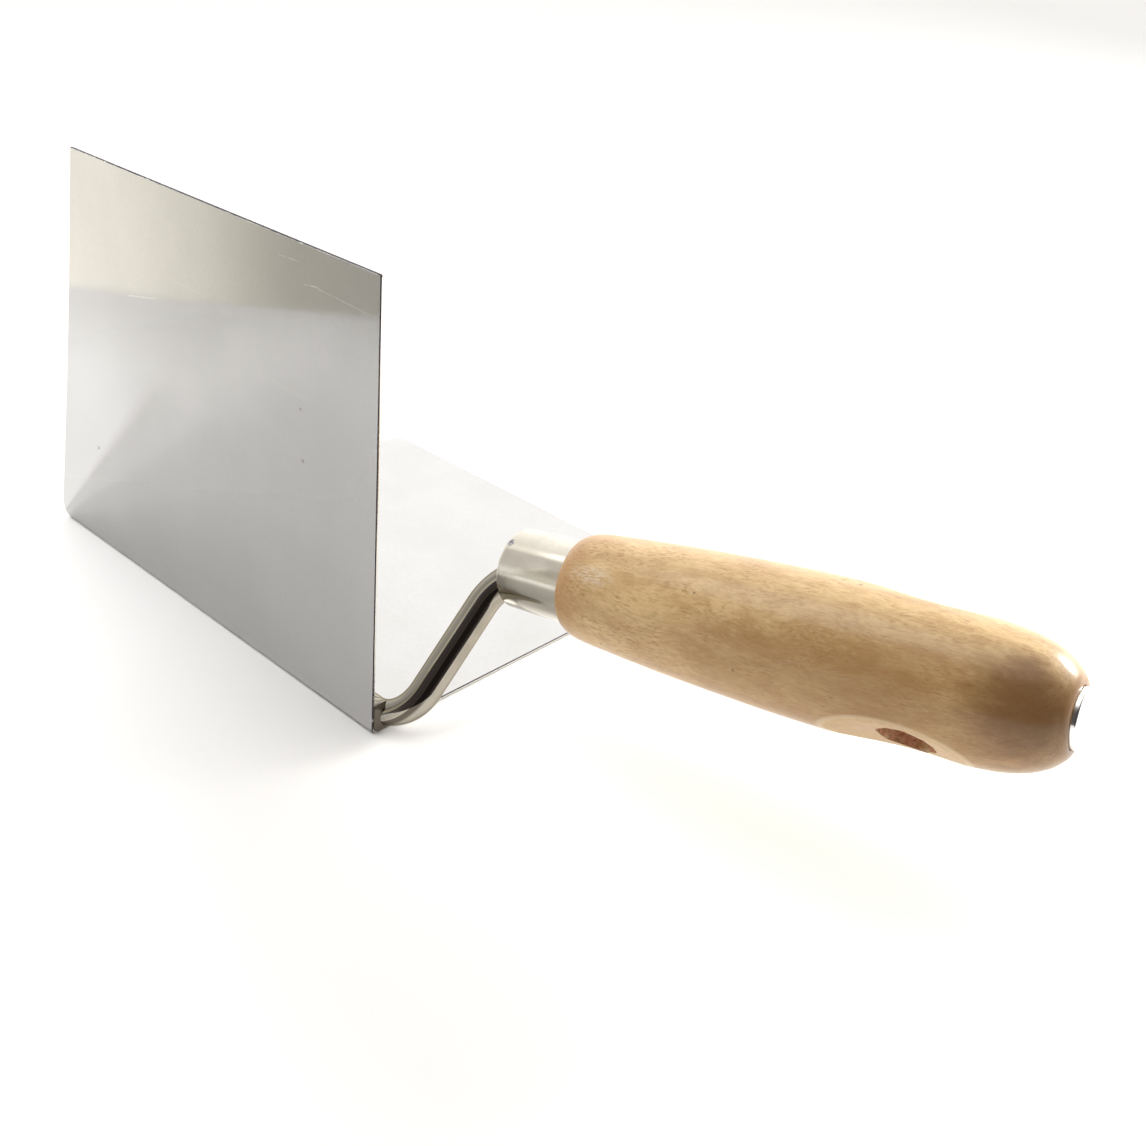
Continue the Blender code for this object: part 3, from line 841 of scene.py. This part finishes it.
def bead_ripple(x, seed):
    """Overlapping ripples of a weld laid down in short pushes."""
    phase = (x + 0.0004 * wander(x, 0, 0, 0.004, seed)) / WELD_RIPPLE
    return 0.5 + 0.5 * cos(2 * pi * (phase % 1) ** 1.4)


def rod_rise(x):
    """How far the rod has risen from its seat here, and the angle it has turned."""
    into_bend = max(FOOT_BEND_RADIUS - RISER_OFFSET - x, 0)
    angle = asin(min(into_bend / FOOT_BEND_RADIUS, 1))
    return FOOT_BEND_RADIUS * (1 - cos(angle)), angle


def build_bead(name, node, material, standing):
    """Fillet of weld between the foot and one flange; the other bead is its mirror image."""
    seed = 2.2 if standing else 6.6
    stations, arc_points = 150, 11
    start, end = 0.0001, FOOT_LENGTH + 0.0002
    rings = []
    for i in range(stations + 1):
        share = i / stations
        x = start + (end - start) * share
        rise, angle = rod_rise(x)
        seat = SEAT + rise / sqrt(2)
        rod = drawn_down_radius(angle)
        fullness = smooth(-0.03, 0.03, share) * max(1 - smooth(0.9, 1, share), 0.02) ** 0.5
        swell = fullness * (0.78 + 0.3 * wander(x, 0, 0, 0.006, seed))
        ripple = bead_ripple(x, seed)
        leg = WELD_LEG * swell * (0.9 + 0.1 * ripple)
        floor = SHEET + WELD_TOE_GAP
        top_angle = radians(48 + 42 * swell)
        low_angle = radians(25)
        top = Vector((seat + (rod - BURIED) * sin(top_angle),
                      seat - (rod - BURIED) * cos(top_angle)))
        toe = Vector((seat + rod * 0.8 + leg, floor))
        heel = Vector((seat + (rod - BURIED) * sin(low_angle), floor))
        ring = []
        across = Vector((toe.y - top.y, top.x - toe.x)).normalized()
        if across.y < 0:
            across = -across
        for k in range(arc_points + 1):
            t = k / arc_points
            bulge = sin(pi * t) * (0.0003 * swell + 0.00009 * ripple)
            grit = 0.00005 * wander(x, t * 0.004, 0, 0.0009, seed)
            point = top.lerp(toe, t) + across * (bulge + grit * sin(pi * t))
            ring.append(point)
        ring.append(heel)
        rings.append([(x, -p.y, p.x) if standing else (x, -p.x, p.y) for p in ring])
    piece(solid(rings), name, 55, [material], FOLD, node)


def end_bead_reach(x, turn, fullness):
    """Centre of the rod at a station, and where the end weld starts and stops outside it."""
    rise, angle = rod_rise(x)
    centre = SEAT + rise / sqrt(2)
    rod = drawn_down_radius(angle) / cos(angle)
    square = (centre - SHEET * 0.45) / max(cos(turn), -sin(turn), 0.2)
    edge = rod + BURIED
    reach = edge + (min(square, centre * END_WELD_CORNER) - edge) * fullness
    return centre, rod - END_WELD_DEPTH, reach


def build_end_bead(material):
    """Weld filling the corner between the rod and the two sheets at the blade's near end."""
    stations, front, back = 110, 14, 4
    rings = []
    for i in range(stations + 1):
        share = i / stations
        degrees = END_WELD_FROM + (END_WELD_TO - END_WELD_FROM) * share
        turn = radians(degrees)
        from_end = min(END_WELD_FROM - degrees, degrees - END_WELD_TO)
        fullness = smooth(0, END_WELD_FADE, from_end)
        proud = END_WELD_PROUD * (0.1 + 0.9 * fullness)
        proud *= 0.92 + 0.16 * wander(share * 0.01, 0, 0, 0.0025, 5)
        ring = []
        for j in range(front + 1):
            u = j / front
            ring.append((u, -proud * sin(pi * min(u * 0.5 + 0.42, 1))))
        for j in range(1, back):
            ring.append((1 - j / back, 0.00012))
        placed = []
        for u, x in ring:
            centre, start, reach = end_bead_reach(x, turn, fullness)
            out = start + (reach - start) * u
            y = min(-centre + out * cos(turn), -END_WELD_GAP)
            z = max(centre + out * sin(turn), END_WELD_GAP)
            placed.append((x, y, z))
        rings.append(placed)
    piece(solid(rings), "end_weld", 55, [material], FOLD, "weld_bead_end")


# ---- turned pieces

def arc(centre_radius, centre_along, radius, start, end, steps):
    """(radius, along) points on an arc, with its ends in degrees."""
    points = []
    for i in range(steps + 1):
        angle = radians(start + (end - start) * i / steps)
        points.append((centre_radius + radius * cos(angle),
                       centre_along + radius * sin(angle)))
    return points


def lathe(profile, sides, shape=None, looped=False):
    """Turn (radius, along) points about local Z; shape(radius, along, angle) may adjust them."""
    rings = []
    for radius, along in profile:
        ring = []
        for angle in turns(sides):
            r = shape(radius, along, angle) if shape else radius
            ring.append((r * cos(angle), r * sin(angle), along))
        rings.append(ring)
    return solid(rings, looped)


def build_ferrule(material):
    """Drawn tube with a rolled lip at the front, closed round its wall."""
    lip, wall = FERRULE_LIP_RADIUS, FERRULE_WALL
    centre_radius, centre_along = FERRULE_FRONT_RADIUS - lip, FERRULE_FRONT + lip
    back = SHOULDER - CLOSE_FIT
    run = [(FERRULE_BACK_RADIUS, back)]
    for i in range(1, 40):
        share = i / 40
        radius = FERRULE_BACK_RADIUS + (FERRULE_FRONT_RADIUS - FERRULE_BACK_RADIUS) * share
        run.append((radius, back + (centre_along - back) * share))
    run += arc(centre_radius, centre_along, lip, 0, -90, 12)
    run += arc(centre_radius, centre_along, lip - wall, -90, 0, 6)
    run += [(FERRULE_BACK_RADIUS - wall, back)]

    def shape(radius, along, angle):
        dent = wander(radius * cos(angle), radius * sin(angle), along, 0.009, 7)
        return radius * (1 + 0.0022 * dent)

    tube = lathe(run, 120, shape, looped=True)
    piece(tube, "ferrule_tube", 50, [material], HANDLE, "ferrule")


def turned_radius(along):
    """Radius of the wood between its turning stations (cubic Hermite)."""
    stations = TURNING
    for i in range(len(stations) - 1):
        (a0, r0), (a1, r1) = stations[i], stations[i + 1]
        if along <= a1 or i == len(stations) - 2:
            break
    before = stations[max(i - 1, 0)]
    after = stations[min(i + 2, len(stations) - 1)]
    slope0 = (r1 - before[1]) / (a1 - before[0])
    slope1 = (after[1] - r0) / (after[0] - a0)
    step = a1 - a0
    t = min((along - a0) / step, 1)
    return (r0 * (2 * t ** 3 - 3 * t ** 2 + 1) + slope0 * step * (t ** 3 - 2 * t ** 2 + t)
            + r1 * (3 * t ** 2 - 2 * t ** 3) + slope1 * step * (t ** 3 - t ** 2))


def scoop_radius(along, angle):
    """Distance from the axis to a scooped facet, or infinity where the facet doesn't reach."""
    off = along - SCOOP_AT
    lean = abs(cos(angle))
    if abs(off) >= SCOOP_RADIUS or lean < 0.3:
        return float("inf")
    depth = SCOOP_DEPTH + SCOOP_RADIUS - sqrt(SCOOP_RADIUS ** 2 - off ** 2)
    depth += 0.00006 * wander(0, sin(angle) * 0.01, along, 0.003, 9)
    return depth / lean


def handle_shape(radius, along, angle):
    """The turned surface with the scooped facets blended in over a softened edge."""
    if along < SHOULDER + 0.0005 or radius < 0.008:
        return radius
    facet = scoop_radius(along, angle)
    ease = FACET_EASE
    gap = facet - radius
    if gap > ease:
        return radius
    if gap < -ease:
        return facet
    blend = (ease + gap) / (2 * ease)
    return facet - gap * blend - ease * blend * (1 - blend)


def wood_profile():
    """(radius, along) points from the cap's seat over the grip to the tang's bore."""
    floor = BUTT - CAP_RECESS
    recess = CAP_RADIUS + CAP_CLEARANCE
    profile = [(0.0005, floor), (recess, floor), (recess, BUTT - 0.00015),
               (recess + 0.00015, BUTT)]
    count = 300
    top = BUTT - 0.00005
    for i in range(count + 1):
        share = i / count
        crowded = share - 0.12 * sin(2 * pi * share) / (2 * pi)
        along = top - (top - SHOULDER) * crowded
        profile.append((turned_radius(along), along))
    spigot = FERRULE_FRONT_RADIUS - FERRULE_WALL - GAP
    profile += [(spigot, SHOULDER), (spigot, SPIGOT_FRONT), (SHANK_RADIUS + 0.0001, SPIGOT_FRONT),
                (SHANK_RADIUS + 0.0001, SPIGOT_FRONT + 0.004), (0.0005, SPIGOT_FRONT + 0.0045)]
    return profile


def ragged_drill():
    """Cutter for the hanging hole: a drill's bore whose mouths have torn out in places."""
    rings = []
    stations, half = 90, 0.019
    for i in range(stations + 1):
        across = -half + 2 * half * i / stations
        mouth = smooth(0.0105, 0.0138, abs(across))
        ring = []
        for angle in turns(72):
            tear = wander(across * 0.4, 0.006 * cos(angle), 0.006 * sin(angle), 0.0016, 2)
            fine = wander(across, 0.006 * cos(angle), 0.006 * sin(angle), 0.0006, 6)
            radius = HOLE_RADIUS + 0.00008 * fine + mouth * max(tear, 0) * 0.0011
            ring.append((across, radius * cos(angle), HOLE_AT + radius * sin(angle)))
        rings.append(ring)
    return finish_mesh(solid(rings), "ragged_drill")


def build_wood(material):
    """Turn and scoop the grip, then drill the hanging hole through it."""
    turned = lathe(wood_profile(), WOOD_SIDES, handle_shape)
    blank = new_object("wood_blank", finish_mesh(turned, "wood_blank"), [])
    cutter = new_object("ragged_drill", ragged_drill(), [])
    cut = blank.modifiers.new("hanging_hole", "BOOLEAN")
    cut.operation = "DIFFERENCE"
    cut.solver = "EXACT"
    cut.object = cutter
    drilled_mesh = bpy.data.meshes.new_from_object(
        blank.evaluated_get(bpy.context.evaluated_depsgraph_get()))
    for obj in (blank, cutter):
        bpy.data.objects.remove(obj)
    drilled_mesh.shade_smooth()
    drilled_mesh.set_sharp_from_angle(angle=radians(35))
    handle = new_object("turned_handle", drilled_mesh, [material], HANDLE)
    place(handle, "wooden_handle")


def build_cap(material):
    """Shallow dished disc with a rounded rim."""
    seat, face = BUTT - CAP_RECESS + 0.0001, BUTT + CAP_PROUD
    rim = 0.0004
    profile = [(0.0004, face - 0.00022), (0.003, face - 0.0002), (0.0047, face - 0.00012),
               (0.0054, face - 0.00002)]
    profile += arc(CAP_RADIUS - rim, face - rim, rim, 90, 0, 8)
    profile += [(CAP_RADIUS, seat), (0.0004, seat)]

    def shape(radius, along, angle):
        dent = abs(wander(cos(angle), sin(angle), along, 0.8, 3))
        return radius * (1 - 0.004 * dent)

    disc_mesh = lathe(profile, 96, shape)
    piece(disc_mesh, "cap_disc", 50, [material], HANDLE, "butt_cap")


# ---- stage

# Camera, from the fold's near end
LENS = 44.14
LENS_SHIFT = -0.0977
CAMERA_AT = Vector((-0.2123, 0.1788, 0.2067))
CAMERA_FORWARD = Vector((0.5944, -0.6808, -0.428))
CAMERA_DOWN = Vector((-0.3449, 0.2649, -0.9005))

# Azimuth and elevation of the middle of the room's dark side
DARK_SIDE = (136, 22)
ROOM_STOPS = [
    (0, (1, 0.995, 0.985)), (0.19, (1, 0.99, 0.975)), (0.385, (0.74, 0.725, 0.705)),
    (0.585, (0.45, 0.43, 0.395)), (0.64, (0.39, 0.37, 0.335)), (0.75, (0.16, 0.148, 0.132)),
    (0.82, (0.05, 0.044, 0.043)), (1, (0.036, 0.031, 0.032)),
]
ROOM_STRENGTH = 1.72
CEILING_EDGE = (0.84, 0.97)
CEILING_STOPS = [(0, 0), (1, (0.6, 0.6, 0.595))]

# Cards only mirrors see, square to the direction in which the standing flange mirrors the room
ALONG_CARDS = Vector((0.766, -0.643, 0))
OUT_TO_CARDS = Vector((0.643, 0.766, 0))
CARD_ENDS = (-0.01, 0.4)
CARD_SHADING = (0, 0.16)
CARD_DISTANCE = 0.329
CARD_HEIGHT = 0.1
CARD_STOPS = [
    (0, (0.56, 0.54, 0.48)), (0.3, (0.65, 0.625, 0.545)), (0.42, (0.83, 0.795, 0.69)),
    (0.56, (1.13, 1.085, 0.96)), (0.8, (1.45, 1.39, 1.25)), (1, (1.52, 1.45, 1.32)),
]
FADE_START = 0.16
FADE_END = 0.3285
FADE_HEIGHT = 0.0003
FADE_DEPTH_STOPS = [(0, 0), (0.55, 0.35), (1, 1)]
FADE_STOPS = [(0, 0.66), (0.45, 0.68), (0.7, 0.84), (1, 0.95)]
FILL_AT = Vector((0.115, 0.12, 0.0004))
FILL_FROM = Vector((0, 0.3, 0.55))
FILL_RADIUS = 0.16
FILL_WATTS = 9
FILL_STOPS = [(0, 0.63), (0.35, 0.71), (0.7, 0.92), (1, 1)]


def disc(name, sides, radius):
    """Flat round mesh."""
    bm = bmesh.new()
    bmesh.ops.create_circle(bm, cap_ends=True, segments=sides, radius=radius)
    return finish_mesh(bm, name)


def card(name, corners):
    """Flat mesh from (along the cards, out to them, up) corners."""
    bm = bmesh.new()
    bm.faces.new([bm.verts.new(OUT_TO_CARDS * out + ALONG_CARDS * along + Vector((0, 0, up)))
                  for along, out, up in corners])
    return finish_mesh(bm, name)


def build_floor():
    """Pale floor just under the tool."""
    s = Shader("studio_floor", Matrix.Identity(4), metallic=0, specular=0.15)
    s.to("Roughness", 0.75)
    cloud = s.noise(3, 2)
    s.to("Base Color", s.mix(cloud, (0.9, 0.9, 0.9), (0.93, 0.93, 0.93)))
    below = Matrix.Translation((0, 0, -0.0002))
    obj = new_object("floor", disc("floor", 96, 12), [s.material], below)


def direction(azimuth, elevation):
    """Unit vector from angles in degrees."""
    a, e = radians(azimuth), radians(elevation)
    return Vector((cos(e) * cos(a), cos(e) * sin(a), sin(e)))


def build_world():
    """Bright soft studio, with the dark side of the room behind the camera."""
    world = bpy.data.worlds.new("studio")
    bpy.context.scene.world = world
    world.use_nodes = True
    nodes = Nodes(world.node_tree)
    look = nodes.add("ShaderNodeTexCoord").outputs["Generated"]
    room = nodes.ramp(nodes.along(look, direction(*DARK_SIDE), -1, 1), ROOM_STOPS)
    ceiling = nodes.ramp(nodes.along(look, (0, 0, 1), *CEILING_EDGE), CEILING_STOPS)
    both = nodes.add("ShaderNodeMix", {"Factor": 1, 6: room, 7: ceiling},
                     data_type="RGBA", blend_type="ADD")
    background = world.node_tree.nodes["Background"]
    nodes.feed(background.inputs["Color"], both.outputs[2])
    background.inputs["Strength"].default_value = ROOM_STRENGTH


def hang(light, away, location=(0, 0, 0)):
    """Put a light in the scene, shining against the direction `away`."""
    obj = bpy.data.objects.new(light.name, light)
    bpy.context.scene.collection.objects.link(obj)
    obj.location = location
    obj.rotation_euler = away.to_track_quat("Z", "Y").to_euler()
    return obj


def add_backlight(azimuth, elevation, spread, strength):
    """Broad soft light from behind and above, even over the whole floor."""
    light = bpy.data.lights.new("backlight", "SUN")
    light.angle = radians(spread)
    light.energy = strength
    hang(light, direction(azimuth, elevation)).visible_glossy = False


def add_light(name, location, target, size, watts, colour):
    """Round soft light aimed at a point."""
    light = bpy.data.lights.new(name, "AREA")
    light.shape = "DISK"
    light.size = size
    light.energy = watts
    light.color = colour
    hang(light, Vector(location) - Vector(target), location)


def plain_material(name, kind):
    """Material with one plain shader: itself, its nodes, its colour and mesh positions."""
    material = bpy.data.materials.new(name)
    material.use_nodes = True
    nodes = Nodes(material.node_tree)
    nodes.tree.nodes.remove(nodes.tree.nodes["Principled BSDF"])
    shader = nodes.add(kind)
    nodes.feed(nodes.tree.nodes["Material Output"].inputs["Surface"], shader.outputs[0])
    position = nodes.add("ShaderNodeTexCoord").outputs["Object"]
    return material, nodes, shader.inputs["Color"], position


def only_mirrored(obj):
    """Hide an object from everything but mirror reflections."""
    for flag in ("visible_camera", "visible_diffuse", "visible_shadow", "visible_transmission"):
        setattr(obj, flag, False)


def build_room_card():
    """What the standing flange mirrors above the white floor: beige, falling to olive grey."""
    near, far = CARD_ENDS
    corners = [(near, 0), (far, 0), (far, CARD_HEIGHT), (near, CARD_HEIGHT)]
    mesh = card("room_card", [(along, CARD_DISTANCE, up) for along, up in corners])
    material, nodes, glow, position = plain_material("room_card", "ShaderNodeEmission")
    along = nodes.along(position, ALONG_CARDS, *CARD_SHADING)
    nodes.feed(glow, nodes.ramp(along, CARD_STOPS))
    obj = new_object("room_card", mesh, [material])
    only_mirrored(obj)


def build_floor_fade():
    """Painted shade that only mirrors see: the floor dims towards the room, as the standing flange
    mirrors it.
    """
    near, far = CARD_ENDS
    corners = [(near, FADE_START), (far, FADE_START), (far, FADE_END), (near, FADE_END)]
    mesh = card("floor_fade", [(along, out, FADE_HEIGHT) for along, out in corners])
    material, nodes, clear, position = plain_material("floor_fade", "ShaderNodeBsdfTransparent")
    depth = nodes.ramp(nodes.along(position, OUT_TO_CARDS, FADE_START, FADE_END), FADE_DEPTH_STOPS)
    side = nodes.ramp(nodes.along(position, ALONG_CARDS, *CARD_SHADING), FADE_STOPS)
    # Painted shade: how much of the mirrored floor shows through.
    blend = nodes.add("ShaderNodeMix", {"Factor": depth, 6: (1, 1, 1, 1), 7: side},
                      data_type="RGBA")
    nodes.feed(clear, blend.outputs[2])
    obj = new_object("floor_fade", mesh, [material])
    only_mirrored(obj)


def build_floor_fill():
    """Light on the floor beside the standing flange, dimmed again where the flange mirrors it."""
    light = bpy.data.lights.new("floor_fill", "SPOT")
    light.energy = FILL_WATTS
    light.shadow_soft_size = 0.1
    light.spot_size = 2 * atan(FILL_RADIUS / FILL_FROM.length)
    light.spot_blend = 1
    hang(light, FILL_FROM, FILL_AT + FILL_FROM).visible_glossy = False
    material, nodes, clear, position = plain_material("fill_shade", "ShaderNodeBsdfTransparent")
    out = nodes.spread(nodes.vector("DISTANCE", position, FILL_AT), 0, FILL_RADIUS)
    nodes.feed(clear, nodes.ramp(out, FILL_STOPS, "B_SPLINE"))
    mesh = disc("fill_shade", 64, FILL_RADIUS)
    shade = new_object("fill_shade", mesh, [material], Matrix.Translation(FILL_AT))
    only_mirrored(shade)


def build_camera():
    """The view that the light and the painted bands are made for."""
    camera = bpy.data.cameras.new("camera")
    camera.sensor_width = 36
    camera.lens = LENS
    camera.shift_y = LENS_SHIFT
    camera.clip_start = 0.01
    obj = bpy.data.objects.new("camera", camera)
    bpy.context.scene.collection.objects.link(obj)
    forward = CAMERA_FORWARD.normalized()
    up = -(CAMERA_DOWN - CAMERA_DOWN.dot(forward) * forward).normalized()
    right = forward.cross(up)
    pose = Matrix((right, up, -forward)).transposed().to_4x4()
    pose.translation = CAMERA_AT + FOLD_START
    obj.matrix_world = pose
    bpy.context.scene.camera = obj


def main():
    """Stage first, then the tool's pieces."""
    bpy.context.scene.view_settings.view_transform = "Standard"
    build_camera()
    build_world()
    build_floor()
    build_room_card()
    build_floor_fade()
    build_floor_fill()
    add_light("window", (-0.375, -0.95, 0.475), (0, 0, 0.04), 0.39, 11, (1, 0.98, 0.95))
    add_light("softbox", (0.38, 0.2, 0.8), (0.34, 0.16, 0), 0.55, 1.8, (1, 0.995, 0.985))
    add_backlight(-68, 62, 70, 0.35)
    build_blade([sheet_steel(), sheared_edge(), dark_arris_painted_reflection()])
    build_shank(rod_steel())
    weld = weld_metal()
    build_bead("lying_weld", "weld_bead_lying", weld, False)
    build_bead("standing_weld", "weld_bead_standing", weld, True)
    build_end_bead(weld)
    build_ferrule(ferrule_steel())
    build_wood(handle_wood())
    build_cap(cap_steel())


main()
